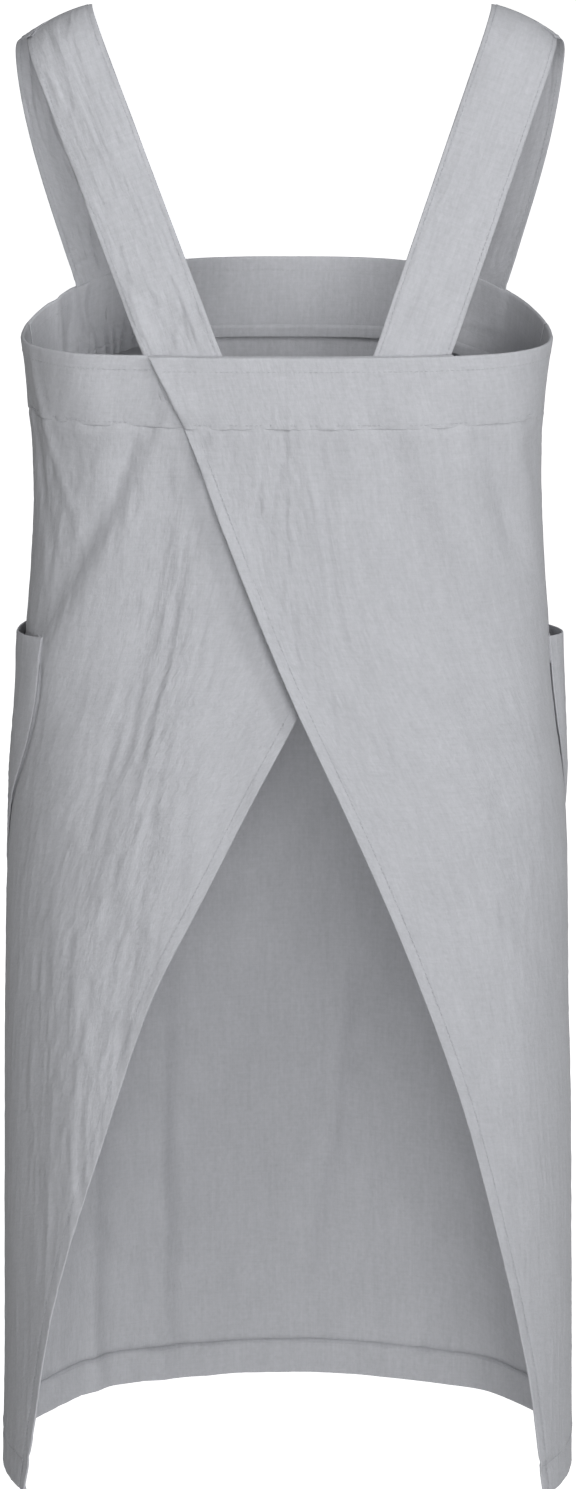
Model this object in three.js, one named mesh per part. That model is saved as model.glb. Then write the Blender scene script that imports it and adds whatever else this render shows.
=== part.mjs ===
// Cross back apron in its worn shape: a bib and skirt wrapped round the wearer, a folded band along its
// top edge, two wide shoulder straps, two patch pockets, and two back panels whose slanted free edges
// cross behind the waist. Millimetres. +X is the wearer's right, +Y the wearer's front and +Z up. The
// origin lies midway between the shoulders, level with the straps' highest edges.

import * as THREE from "three";

// Cloth and layers
const CLOTH = 1.0; // one layer of cloth
const LAYER_GAP = 0.3; // between two layers that lie on each other
const EDGE_EASE = 1.0; // between a piece sewn along its edge and the curved cloth that carries it

// Body
const BAND_DROP = 216; // straps' highest edges down to the band's top edge, at the back and sides
const BODY_LENGTH = 804; // band's top edge at the back down to the hem
const HEM_HALF_WIDTH = 200; // centre to side, at the hem
const HEM_HALF_DEPTH = 150; // centre to front and to back, at the hem
const SIDE_SEAM_TURN = 84; // degrees from the front centre to a side seam
const OVERLAP_LIFT = 8; // the upper back panel stands this far off the form where the panels cross

// Band
const BIB_RISE = 33; // the bib's centre above the band's top edge at the sides
const BAND_HEIGHT = 46; // top fold down to the seam
const BAND_LIP = 9; // the band's inner layer below the seam
const SEAM_TUCK = 10; // body cloth inside the band, above the seam

// Turned hems, all on the inside
const HEM_TURN = 26; // bottom hem
const EDGE_TURN = 9; // hem of a slanted free edge
const POCKET_TURN = 18; // hem of a pocket's mouth

// Straps
const STRAP_WIDTH = 48;
const STRAP_THICK = 2.0; // two layers
const STRAP_TAIL = 36; // sewn length inside the band
const STRAP_BULGE = 8; // the strap's bow outwards just in front of the shoulder
const SHOULDER_RADIUS = 38; // the shoulder that the strap bends over
const SHOULDER_SLOPE = 27; // degrees that the strap leans outwards on the shoulder
const STRAP_CROWN = 3; // the strap's bow across its width on the shoulder

// Soft folds
const FOLD_HEIGHT = 5; // the tallest fold of the hanging cloth

// Pockets
const POCKET_DROP = 201; // band's top edge at the sides down to the pocket's mouth
const POCKET_DEPTH = 205; // mouth to bottom
const POCKET_SLANT = 18; // the mouth's front end is this much lower than its rear end
const POCKET_FRONT_TURN = 44; // degrees from the front centre to the pocket's front edge
const POCKET_BOTTOM_TURN = 76; // and to its rear edge at the bottom
const POCKET_GAPE = 8.5; // the mouth stands this far off the skirt
const GAPE_SHARPNESS = 4; // more moves the widest gape nearer the pocket's rear edge
const GAPE_FULLNESS = 0.8; // less makes the gape blunter

const DEGREE = Math.PI / 180;

// The body's outline by height. down is a share of BODY_LENGTH below the band's top edge, width a share
// of HEM_HALF_WIDTH, front and back shares of HEM_HALF_DEPTH. A squareness of 2 is an ellipse, and more
// is squarer.
const FORM = [
  { down: -0.06, width: 0.885, front: 0.66, back: 0.64, frontSquare: 2.3, backSquare: 3.4 },
  { down: 0.0, width: 0.872, front: 0.68, back: 0.66, frontSquare: 2.3, backSquare: 3.3 },
  { down: 0.08, width: 0.85, front: 0.72, back: 0.67, frontSquare: 2.3, backSquare: 3.1 },
  { down: 0.14, width: 0.853, front: 0.76, back: 0.65, frontSquare: 2.3, backSquare: 2.9 },
  { down: 0.25, width: 0.88, front: 0.74, back: 0.65, frontSquare: 2.3, backSquare: 2.7 },
  { down: 0.4, width: 0.935, front: 0.8, back: 0.76, frontSquare: 2.2, backSquare: 2.5 },
  { down: 0.58, width: 0.968, front: 0.88, back: 0.87, frontSquare: 2.2, backSquare: 2.3 },
  { down: 0.76, width: 0.985, front: 0.95, back: 0.95, frontSquare: 2.2, backSquare: 2.2 },
  { down: 1.0, width: 1.0, front: 1.0, back: 1.0, frontSquare: 2.2, backSquare: 2.1 },
];

// The back panels' free edges. across is a share of the half width at that height, measured from the
// back centre towards the panel's own side, so a negative share lies past the centre, on the other side.
const UPPER_EDGE = [
  { down: 0.0, across: -0.51 },
  { down: 0.06, across: -0.382 },
  { down: 0.14, across: -0.243 },
  { down: 0.25, across: -0.04 },
  { down: 0.38, across: 0.215 },
  { down: 0.5, across: 0.42 },
  { down: 0.625, across: 0.593 },
  { down: 0.75, across: 0.718 },
  { down: 0.875, across: 0.824 },
  { down: 1.0, across: 0.886 },
];
const UNDER_EDGE = [
  { down: 0.0, across: -0.61 },
  { down: 0.14, across: -0.34 },
  { down: 0.28, across: -0.07 },
  { down: 0.36, across: 0.115 },
  { down: 0.44, across: 0.285 },
  { down: 0.523, across: 0.455 },
  { down: 0.58, across: 0.54 },
  { down: 0.65, across: 0.625 },
  { down: 0.75, across: 0.738 },
  { down: 0.84, across: 0.823 },
  { down: 0.93, across: 0.88 },
  { down: 1.0, across: 0.917 },
];

// How far the upper back panel stands off, as a share of OVERLAP_LIFT.
const LIFT = [
  { down: 0.0, share: 0.56 },
  { down: 0.08, share: 0.6 },
  { down: 0.28, share: 1.1 },
  { down: 0.45, share: 0.7 },
  { down: 0.7, share: 0.25 },
  { down: 1.0, share: 0.0 },
];
const LIFT_STARTS = 100; // degrees from the front centre
const LIFT_FULL = 126;

// Soft folds of the hanging cloth. Each runs from turn at the height down to turnEnd at the height
// downEnd, in degrees from the front centre, positive on the wearer's right. spread is its half width in
// degrees. height is a share of FOLD_HEIGHT, negative for a valley.
const FOLDS = [
  { turn: -142, down: 0.03, turnEnd: -104, downEnd: 0.34, spread: 6.5, height: 0.9 },
  { turn: -147, down: 0.05, turnEnd: -118, downEnd: 0.48, spread: 6, height: -0.6 },
  { turn: -122, down: 0.3, turnEnd: -128, downEnd: 0.95, spread: 7, height: 0.5 },
  { turn: 134, down: 0.03, turnEnd: 110, downEnd: 0.24, spread: 6, height: -0.6 },
  { turn: 143, down: 0.1, turnEnd: 108, downEnd: 0.52, spread: 7, height: -0.4 },
  { turn: -50, down: 0.55, turnEnd: -48, downEnd: 1.2, spread: 7, height: 0.9 },
  { turn: -64, down: 0.6, turnEnd: -66, downEnd: 1.2, spread: 7, height: -0.6 },
  { turn: -22, down: 0.35, turnEnd: -26, downEnd: 1.2, spread: 8, height: -0.6 },
  { turn: 4, down: 0.3, turnEnd: 2, downEnd: 1.2, spread: 8, height: 0.6 },
  { turn: 26, down: 0.3, turnEnd: 30, downEnd: 1.2, spread: 8, height: -0.7 },
  { turn: 50, down: 0.55, turnEnd: 52, downEnd: 1.2, spread: 7, height: 0.7 },
];

// The two straps. back and front are shares of the half width where the strap meets the band, and crest
// is a share of HEM_HALF_WIDTH, from the centre to the strap's middle on the shoulder.
const STRAPS = [
  { name: "left_strap", side: -1, back: 0.39, crest: 0.745, front: 0.69 },
  { name: "right_strap", side: 1, back: 0.46, crest: 0.77, front: 0.72 },
];

// The two pockets. rear is the turn of the pocket's rear edge at the mouth, in degrees from the front
// centre.
const POCKETS = [
  { name: "left_pocket", side: -1, rear: 107 },
  { name: "right_pocket", side: 1, rear: 98 },
];

// Grid sizes of the faceted sheets
const FRONT_COLUMNS = 32;
const FRONT_ROWS = 14;
const BACK_COLUMNS = 20;
const BACK_ROWS = 16;
const POCKET_COLUMNS = 12;
const POCKET_ROWS = 8;
const STRAP_COLUMNS = 4;

const cloth = new THREE.MeshStandardMaterial({ color: 0xb6b7bb, roughness: 0.92, metalness: 0 });

const mix = (a, b, share) => a + (b - a) * share;
const clamp01 = (value) => Math.min(1, Math.max(0, value));
const smooth = (value) => clamp01(value) ** 2 * (3 - 2 * clamp01(value));
const heightAt = (down) => -BAND_DROP - down * BODY_LENGTH;
const downAt = (z) => (-BAND_DROP - z) / BODY_LENGTH;
const HEM_HEIGHT = heightAt(1);

// One column of a table at a height, on a smooth curve through its rows.
function fromTable(table, column, down) {
  const last = table.length - 1;
  const at = Math.min(table[last].down, Math.max(table[0].down, down));
  let i = 0;
  while (i < last - 1 && table[i + 1].down < at) i += 1;
  const slope = (j) => {
    const before = table[Math.max(j - 1, 0)];
    const after = table[Math.min(j + 1, last)];
    return (after[column] - before[column]) / (after.down - before.down);
  };
  const span = table[i + 1].down - table[i].down;
  const t = (at - table[i].down) / span;
  const rise = table[i + 1][column] - table[i][column];
  const bend = (1 - t) * (slope(i) * span - rise) - t * (slope(i + 1) * span - rise);
  return table[i][column] + t * rise + t * (1 - t) * bend;
}

function outlineAt(z, isFront) {
  const down = downAt(z);
  return {
    width: HEM_HALF_WIDTH * fromTable(FORM, "width", down),
    depth: HEM_HALF_DEPTH * fromTable(FORM, isFront ? "front" : "back", down),
    square: fromTable(FORM, isFront ? "frontSquare" : "backSquare", down),
  };
}

// How far the folds push the cloth out at a place.
function foldHeight(turn, z) {
  const down = downAt(z);
  const here = ((((turn + 180) % 360) + 360) % 360) - 180;
  let height = 0;
  for (const fold of FOLDS) {
    const along = (down - fold.down) / (fold.downEnd - fold.down);
    if (along <= 0 || along >= 1) continue;
    const away = (here - mix(fold.turn, fold.turnEnd, along)) / fold.spread;
    height += FOLD_HEIGHT * fold.height * Math.sin(Math.PI * along) * Math.exp(-away * away);
  }
  return height;
}

// A point of the worn cloth: turn is in degrees from the front centre, and out is the distance outside
// the form.
function onForm(turn, z, out) {
  const sine = Math.sin(turn * DEGREE);
  const cosine = Math.cos(turn * DEGREE);
  const { width, depth, square } = outlineAt(z, cosine > 0);
  const reach = (Math.abs(sine / width) ** square + Math.abs(cosine / depth) ** square) ** (-1 / square);
  const x = reach * sine;
  const y = reach * cosine;
  const normal = new THREE.Vector2(
    (Math.sign(x) * Math.abs(x / width) ** (square - 1)) / width,
    (Math.sign(y) * Math.abs(y / depth) ** (square - 1)) / depth,
  ).normalize();
  const offset = out + foldHeight(turn, z);
  return new THREE.Vector3(x + normal.x * offset, y + normal.y * offset, z);
}

// The turn of the place on the front or back whose distance from the centre plane is a share of the half
// width.
function turnAt(across, z, isFront) {
  const { width, depth, square } = outlineAt(z, isFront);
  const y = depth * (1 - Math.abs(across) ** square) ** (1 / square);
  return Math.atan2(across * width, isFront ? y : -y) / DEGREE;
}

// The band's top edge, which rises over the bib.
function topEdge(turn) {
  const cosine = Math.cos(turn * DEGREE);
  if (cosine <= 0) return -BAND_DROP;
  const { width, depth, square } = outlineAt(-BAND_DROP, true);
  const sine = Math.abs(Math.sin(turn * DEGREE));
  const reach = ((sine / width) ** square + (cosine / depth) ** square) ** (-1 / square);
  return -BAND_DROP + BIB_RISE * (1 - ((reach * sine) / width) ** 4);
}

// A closed solid from a list of vertices and triangles, with its faces turned outwards.
function solid(name, vertices, triangles) {
  let volume = 0;
  for (const [a, b, c] of triangles) volume += vertices[a].dot(vertices[b].clone().cross(vertices[c]));
  const faces = volume < 0 ? triangles.map(([a, b, c]) => [a, c, b]) : triangles;
  const geometry = new THREE.BufferGeometry();
  const positions = vertices.flatMap((vertex) => vertex.toArray());
  geometry.setAttribute("position", new THREE.Float32BufferAttribute(positions, 3));
  geometry.setIndex(faces.flat());
  geometry.computeVertexNormals();
  const mesh = new THREE.Mesh(geometry, cloth.clone());
  mesh.name = name;
  return mesh;
}

// A sheet of cloth with its rim closed. place(c, r, face) gives the point of a column and a row of its
// grid, where face is 0 on one face of the cloth and 1 on the other.
function sheet(name, columns, rows, place) {
  const vertices = [];
  for (const face of [0, 1])
    for (let r = 0; r <= rows; r += 1)
      for (let c = 0; c <= columns; c += 1) vertices.push(place(c, r, face));
  const index = (face, r, c) => face * (rows + 1) * (columns + 1) + r * (columns + 1) + c;
  const triangles = [];
  const quad = (a, b, c, d) => triangles.push([a, b, c], [a, c, d]);
  for (let r = 0; r < rows; r += 1)
    for (let c = 0; c < columns; c += 1) {
      quad(index(0, r, c), index(0, r + 1, c), index(0, r + 1, c + 1), index(0, r, c + 1));
      quad(index(1, r, c), index(1, r, c + 1), index(1, r + 1, c + 1), index(1, r + 1, c));
    }
  for (let c = 0; c < columns; c += 1) {
    quad(index(0, 0, c), index(0, 0, c + 1), index(1, 0, c + 1), index(1, 0, c));
    quad(index(1, rows, c), index(1, rows, c + 1), index(0, rows, c + 1), index(0, rows, c));
  }
  for (let r = 0; r < rows; r += 1) {
    quad(index(1, r, 0), index(1, r + 1, 0), index(0, r + 1, 0), index(0, r, 0));
    quad(index(0, r, columns), index(0, r + 1, columns), index(1, r + 1, columns), index(1, r, columns));
  }
  return solid(name, vertices, triangles);
}

// A closed profile carried along the cloth. place(c, point) puts a point of the profile at a column.
// Each four-sided facet is split from its upper corner nearer the first column, as a sheet's are, so
// that layers lie flat together.
function sweep(name, columns, profile, place) {
  const size = profile.length;
  const vertices = [];
  for (let c = 0; c <= columns; c += 1) for (const point of profile) vertices.push(place(c, point));
  const triangles = [];
  for (let c = 0; c < columns; c += 1)
    for (let p = 0; p < size; p += 1) {
      const next = (p + 1) % size;
      const [a, b] = [c * size + p, c * size + next];
      const [d, e] = [(c + 1) * size + next, (c + 1) * size + p];
      const falls = profile[next].down >= profile[p].down;
      triangles.push(...(falls ? [[a, b, d], [a, d, e]] : [[a, b, e], [b, d, e]]));
    }
  const contour = profile.map((point) => new THREE.Vector2(point.out, point.down));
  for (const [a, b, c] of THREE.ShapeUtils.triangulateShape(contour, [])) {
    triangles.push([c, b, a]);
    triangles.push([columns * size + a, columns * size + b, columns * size + c]);
  }
  return solid(name, vertices, triangles);
}

// Half of the gap between the two pieces that meet at a side seam, in degrees.
const seamEase = (z) => LAYER_GAP / 2 / outlineAt(z, true).width / DEGREE;

// The three body pieces. turn gives the turn of a column at a height, and lift how far the cloth stands
// off the form.
const front = {
  name: "front",
  columns: FRONT_COLUMNS,
  rows: FRONT_ROWS,
  turn: (c, z) => ((2 * c) / FRONT_COLUMNS - 1) * (SIDE_SEAM_TURN - seamEase(z)),
  lift: () => 0,
};

// A back piece runs from its side seam round to its slanted free edge. Its last column is as wide as the
// hem there.
function backPiece(name, side, edge, isUpper) {
  const edgeTurn = (z) => 360 - ((turnAt(-fromTable(edge, "across", downAt(z)), z, false) + 360) % 360);
  const hemTurn = (z) => EDGE_TURN / onForm(side * edgeTurn(z), z, 0).setZ(0).length() / DEGREE;
  const turn = (c, z) => {
    if (c === BACK_COLUMNS) return side * edgeTurn(z);
    return side * mix(SIDE_SEAM_TURN + seamEase(z), edgeTurn(z) - hemTurn(z), c / (BACK_COLUMNS - 1));
  };
  const lift = (at, z) => {
    if (!isUpper) return 0;
    const share = smooth((at * side - LIFT_STARTS) / (LIFT_FULL - LIFT_STARTS));
    return OVERLAP_LIFT * fromTable(LIFT, "share", downAt(z)) * share;
  };
  return { name, side, columns: BACK_COLUMNS, rows: BACK_ROWS, turn, lift };
}
const leftBack = backPiece("left_back", -1, UNDER_EDGE, false);
const rightBack = backPiece("right_back", 1, UPPER_EDGE, true);

// A point on a body piece, where depth is the distance from its inner face, outwards.
function onPiece(piece, turn, z, depth) {
  return onForm(turn, z, depth + piece.lift(turn, z));
}

// The heights of a column's rows: two in the band, the band's lip, evenly down to the hem's top, and the
// hem.
function rowHeights(piece, c) {
  const top = topEdge(piece.turn(c, -BAND_DROP));
  const lip = top - BAND_HEIGHT - BAND_LIP;
  const hemTop = HEM_HEIGHT + HEM_TURN;
  const body = Array.from({ length: piece.rows + 1 }, (_, r) => mix(lip, hemTop, r / piece.rows));
  return [top - BAND_HEIGHT + SEAM_TUCK, top - BAND_HEIGHT, ...body, HEM_HEIGHT];
}

function panel(piece) {
  return sheet(`${piece.name}_panel`, piece.columns, piece.rows + 3, (c, r, face) => {
    const z = rowHeights(piece, c)[r];
    return onPiece(piece, piece.turn(c, z), z, face * CLOTH);
  });
}

// The band is one strip folded over the body's top edge: its outer layer ends at the seam, its inner one
// at a lip.
const BAND_INNER = -LAYER_GAP - CLOTH;
const BAND_OUTER = 2 * CLOTH + LAYER_GAP;
const FOLD_RADIUS = (BAND_OUTER - BAND_INNER) / 2;
const FOLD_MIDDLE = (BAND_OUTER + BAND_INNER) / 2;

function bandProfile() {
  const legStops = [FOLD_RADIUS, BAND_HEIGHT / 2, BAND_HEIGHT - SEAM_TUCK];
  const arc = (radius, angles) =>
    angles.map((angle) => ({
      out: FOLD_MIDDLE + radius * Math.cos(angle * DEGREE),
      down: FOLD_RADIUS - radius * Math.sin(angle * DEGREE),
    }));
  const leg = (out, stops) => stops.map((down) => ({ out, down }));
  const upwards = [...legStops].reverse();
  return [
    ...leg(BAND_INNER, [BAND_HEIGHT + BAND_LIP, BAND_HEIGHT, ...upwards]),
    ...arc(FOLD_RADIUS, [135, 90, 45]),
    ...leg(BAND_OUTER, [...legStops, BAND_HEIGHT]),
    ...leg(BAND_OUTER - CLOTH, [BAND_HEIGHT, ...upwards]),
    ...arc(FOLD_RADIUS - CLOTH, [90]),
    ...leg(BAND_INNER + CLOTH, [...legStops, BAND_HEIGHT, BAND_HEIGHT + BAND_LIP]),
  ];
}

function band(piece) {
  return sweep(`${piece.name}_band`, piece.columns, bandProfile(), (c, point) => {
    const z = topEdge(piece.turn(c, -BAND_DROP)) - point.down;
    return onPiece(piece, piece.turn(c, z), z, point.out);
  });
}

// A strip turned in along the bottom of a body piece.
function bottomHem(piece) {
  return sheet(`${piece.name}_hem`, piece.columns, 1, (c, r, face) => {
    const z = HEM_HEIGHT + (1 - r) * HEM_TURN;
    return onPiece(piece, piece.turn(c, z), z, BAND_INNER + face * CLOTH);
  });
}

// A strip turned in along the slanted free edge of a back piece, from the band's lip to the bottom hem.
function edgeHem(piece) {
  return sheet(`${piece.name}_edge_hem`, 1, piece.rows, (c, r, face) => {
    const ease = (r === piece.rows ? LAYER_GAP : 0) - (r === 0 ? LAYER_GAP : 0);
    const z = rowHeights(piece, piece.columns)[r + 2] + ease;
    return onPiece(piece, piece.turn(piece.columns - 1 + c, z), z, BAND_INNER + face * CLOTH);
  });
}

// A pocket is sewn to the skirt along its front, rear and bottom edges, and stands off it at the mouth.
const POCKET_TOP = heightAt(0) - POCKET_DROP;
const REAR_STRAIGHT = 0.1; // share of the pocket's depth over which its rear edge runs straight down

function pocketPoint(pocket, u, v, depth) {
  const z = POCKET_TOP - v * POCKET_DEPTH - (1 - u) * (1 - v) * POCKET_SLANT;
  const rear = mix(pocket.rear, POCKET_BOTTOM_TURN, smooth((v - REAR_STRAIGHT) / (1 - REAR_STRAIGHT)));
  const turn = pocket.side * mix(POCKET_FRONT_TURN, rear, u);
  const stand = POCKET_GAPE * Math.sin(Math.PI * u ** GAPE_SHARPNESS) ** GAPE_FULLNESS * (1 - v ** 2);
  return onForm(turn, z, CLOTH + EDGE_EASE + stand + depth);
}

function pocketSolid(pocket) {
  return sheet(pocket.name, POCKET_COLUMNS, POCKET_ROWS, (c, r, face) =>
    pocketPoint(pocket, c / POCKET_COLUMNS, r / POCKET_ROWS, face * CLOTH),
  );
}

// A strip turned in along a pocket's mouth, where the pocket stands off the skirt.
function pocketHem(pocket) {
  const first = Math.ceil(POCKET_COLUMNS / 2);
  return sheet(`${pocket.name}_hem`, POCKET_COLUMNS - first - 1, 1, (c, r, face) => {
    const share = (r * POCKET_TURN) / POCKET_DEPTH;
    return pocketPoint(pocket, (c + first) / POCKET_COLUMNS, share, BAND_INNER + face * CLOTH);
  });
}

// A strap: a tail sewn inside the band at the back, a leg up to the shoulder, the bend over it, a leg
// down to the bib, and a tail inside the band there. Its centre line is a straight leg at each end of an
// arc.
const TAIL_INNER = BAND_INNER - EDGE_EASE - STRAP_THICK;

function strapEnd(strap, isFront) {
  const across = strap.side * (isFront ? strap.front : strap.back);
  const top = topEdge(turnAt(across, -BAND_DROP, isFront));
  const at = (x, z, depth) => {
    const turn = turnAt(x / outlineAt(z, isFront).width, z, isFront);
    return onForm(turn, z, TAIL_INNER + depth);
  };
  const x = across * outlineAt(top, isFront).width;
  const crest = strap.side * strap.crest * HEM_HALF_WIDTH;
  return { x, top, crest, at, centre: at(x, top, STRAP_THICK / 2) };
}

// The part of a strap's centre line between the band and the shoulder's crest, as the angle on the
// shoulder where the straight leg meets the arc, and the lengths of both.
const CREST_HEIGHT = (-STRAP_WIDTH / 2) * Math.sin(SHOULDER_SLOPE * DEGREE);
const SHOULDER_MIDDLE = CREST_HEIGHT - SHOULDER_RADIUS;
const BULGE_PLACE = 0.45; // less than 1 moves the front bow towards the shoulder
const LEAN_STARTS = 0.4; // share of the straight leg below which the strap doesn't lean outwards
const TAIL_STOPS = [1, 0.66, 0.33, 0]; // rows of the tail, from its end to the band's top edge
const LEG_STOPS = [0.08, 0.25, 0.45, 0.65, 0.85, 1]; // rows of the straight leg
const BEND_STOPS = [0.25, 0.5, 0.75]; // rows of the bend, up to the crest
const ALONG_STEP = 0.01; // share of a half strap's length over which its direction is taken

function strapHalf(end) {
  const toEnd = new THREE.Vector2(end.centre.y, end.centre.z - SHOULDER_MIDDLE);
  const distance = toEnd.length();
  const direction = Math.atan2(Math.abs(toEnd.x), toEnd.y);
  const touch = direction - Math.acos(SHOULDER_RADIUS / distance);
  const leg = Math.sqrt(distance ** 2 - SHOULDER_RADIUS ** 2);
  return { touch, leg, length: leg + SHOULDER_RADIUS * touch, facing: Math.sign(end.centre.y) };
}

// A point on that centre line, run along it from the band.
function onStrapLine(strap, end, half, isFront, run) {
  const angle = half.touch - Math.max(0, run - half.leg) / SHOULDER_RADIUS;
  const up = clamp01(run / half.leg);
  const y = mix(end.centre.y, half.facing * SHOULDER_RADIUS * Math.sin(angle), up);
  const z = mix(end.centre.z, SHOULDER_MIDDLE + SHOULDER_RADIUS * Math.cos(angle), up);
  const risen = (z - end.centre.z) / (CREST_HEIGHT - end.centre.z);
  const bow = isFront ? STRAP_BULGE * Math.sin(Math.PI * (1 - run / half.length) ** BULGE_PLACE) : 0;
  return new THREE.Vector3(mix(end.x, end.crest, risen) + strap.side * bow, y, z);
}

// The rows of one half of a strap, from its tail to the crest. Each row is a function of the place
// across the strap, -1 at its inner edge and 1 at its outer one, and of the depth from the strap's
// underside.
function strapRows(strap, isFront) {
  const end = strapEnd(strap, isFront);
  const half = strapHalf(end);
  const halfWidth = STRAP_WIDTH / 2;
  const slant = Math.atan2(end.crest - end.x, CREST_HEIGHT - end.centre.z) * strap.side;
  const tail = TAIL_STOPS.map((share) => (place, depth) => {
    const run = STRAP_TAIL * share;
    const x = end.x - strap.side * (run * Math.sin(slant) - place * halfWidth * Math.cos(slant));
    const z = end.top - run * Math.cos(slant) - place * halfWidth * Math.sin(slant);
    return end.at(x, z, depth);
  });
  const atBand = tail[tail.length - 1];
  const acrossBand = atBand(1, 0).sub(atBand(-1, 0)).setZ(0).normalize();
  const legRuns = LEG_STOPS.map((share) => share * half.leg);
  const bendRuns = BEND_STOPS.map((share) => mix(half.leg, half.length, share));
  const leanRun = LEAN_STARTS * half.leg;
  const free = [...legRuns, ...bendRuns].map((run) => (place, depth) => {
    const centre = onStrapLine(strap, end, half, isFront, run);
    const step = ALONG_STEP * half.length;
    const along = onStrapLine(strap, end, half, isFront, Math.min(run + step, half.length))
      .sub(onStrapLine(strap, end, half, isFront, run - step))
      .normalize();
    const onShoulder = smooth((run - leanRun) / (half.length - leanRun));
    const lean = SHOULDER_SLOPE * DEGREE * onShoulder;
    const outwards = new THREE.Vector3(strap.side * Math.cos(lean), 0, -Math.sin(lean));
    outwards.lerp(acrossBand, 1 - smooth(run / half.leg));
    outwards.addScaledVector(along, -outwards.dot(along)).normalize();
    const normal = along.clone().cross(outwards);
    if (normal.dot(new THREE.Vector3(0, centre.y, centre.z - SHOULDER_MIDDLE)) < 0) normal.negate();
    const crown = STRAP_CROWN * onShoulder * (1 - place ** 2);
    return centre
      .addScaledVector(outwards, place * halfWidth)
      .addScaledVector(normal, depth - STRAP_THICK / 2 + crown);
  });
  return [...tail, ...free];
}

function crestRow(strap) {
  const lean = SHOULDER_SLOPE * DEGREE;
  const outwards = new THREE.Vector3(strap.side * Math.cos(lean), 0, -Math.sin(lean));
  const normal = new THREE.Vector3(strap.side * Math.sin(lean), 0, Math.cos(lean));
  return (place, depth) =>
    new THREE.Vector3(strap.side * strap.crest * HEM_HALF_WIDTH, 0, CREST_HEIGHT)
      .addScaledVector(outwards, (place * STRAP_WIDTH) / 2)
      .addScaledVector(normal, depth - STRAP_THICK / 2 + STRAP_CROWN * (1 - place ** 2));
}

function strapSolid(strap) {
  const rows = [...strapRows(strap, false), crestRow(strap), ...strapRows(strap, true).reverse()];
  const last = rows.length - 1;
  return sheet(strap.name, STRAP_COLUMNS, last, (c, r, face) =>
    rows[r]((2 * c) / STRAP_COLUMNS - 1, face * STRAP_THICK),
  );
}

const apron = new THREE.Group();
for (const piece of [front, leftBack, rightBack]) apron.add(panel(piece), band(piece));
apron.add(bottomHem(front), bottomHem(leftBack), bottomHem(rightBack));
apron.add(edgeHem(leftBack), edgeHem(rightBack));
for (const pocket of POCKETS) apron.add(pocketSolid(pocket), pocketHem(pocket));
for (const strap of STRAPS) apron.add(strapSolid(strap));

export default apron;
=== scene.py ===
"""Cross back apron in its worn shape, with its band, hems, seams and stitches. Lengths are in metres."""

import math

import bpy
import numpy as np
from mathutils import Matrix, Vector


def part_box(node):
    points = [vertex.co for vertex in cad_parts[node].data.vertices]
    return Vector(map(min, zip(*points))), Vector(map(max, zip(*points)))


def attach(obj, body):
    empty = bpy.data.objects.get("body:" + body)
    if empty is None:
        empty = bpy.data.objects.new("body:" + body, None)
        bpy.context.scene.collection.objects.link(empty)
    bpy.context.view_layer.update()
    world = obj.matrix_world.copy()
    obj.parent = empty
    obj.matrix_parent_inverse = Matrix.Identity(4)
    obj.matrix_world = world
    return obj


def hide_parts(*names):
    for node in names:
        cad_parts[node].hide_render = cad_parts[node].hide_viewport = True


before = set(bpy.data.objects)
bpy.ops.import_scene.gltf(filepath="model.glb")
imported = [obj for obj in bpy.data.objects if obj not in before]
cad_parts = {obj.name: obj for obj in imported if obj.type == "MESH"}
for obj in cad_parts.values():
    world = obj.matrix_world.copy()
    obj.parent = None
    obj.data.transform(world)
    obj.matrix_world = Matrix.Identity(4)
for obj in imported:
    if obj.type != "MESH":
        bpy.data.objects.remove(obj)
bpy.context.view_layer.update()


def table(columns, *rows):
    """A table's rows as dictionaries, by the names of its columns."""
    return [dict(zip(columns.split(), row)) for row in rows]


# Heights of the band's top and the hem
BAND_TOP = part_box("left_back_band")[1][2]
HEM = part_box("front_panel")[0][2]
BODY_LENGTH = BAND_TOP - HEM

# Body
HEM_HALF_WIDTH = 0.200
HEM_HALF_DEPTH = 0.150
SIDE_SEAM_TURN = 84.0  # degrees from the front centre
OVERLAP_LIFT = 0.008
BIB_RISE = 0.033

# Cloth
CLOTH = 0.0006  # one layer
LAYER = 0.0007  # from the middle of one layer to the middle of the next
FOLD = LAYER / 2  # radius of a pressed fold
PANEL_OUT = 0.00045  # middle of a body panel's cloth outside the form

# Band and hems
BAND_HEIGHT = 0.046
BAND_LIP = 0.009
SEAM_TUCK = 0.010
SEAM_ALLOWANCE = 0.008
HEM_TURN = 0.026
EDGE_TURN = 0.009
HEM_FOLD = 0.00045  # radius of a hem's soft fold
BAND_OUTER = PANEL_OUT + 2 * LAYER  # middle of the band's outer layer
BAND_INNER = PANEL_OUT - 1.2 * LAYER  # middle of its inner layer

# Straps
STRAP_WIDTH = 0.048
STRAP_THICK = 0.0015
STRAP_OUT = -0.0007  # middle of a strap's tail, between the band's layers
STRAP_TAIL = 0.036
SHOULDER_RADIUS = 0.038
SHOULDER_SLOPE = math.radians(27)
STRAP_CROWN = 0.003
CREST_HEIGHT = -STRAP_WIDTH / 2 * math.sin(SHOULDER_SLOPE)
SHOULDER_MIDDLE = CREST_HEIGHT - SHOULDER_RADIUS

# Pockets
POCKET_DEPTH = 0.205
POCKET_SLANT = 0.018
POCKET_TURN = 0.018
POCKET_FRONT_TURN = 44.0

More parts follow.
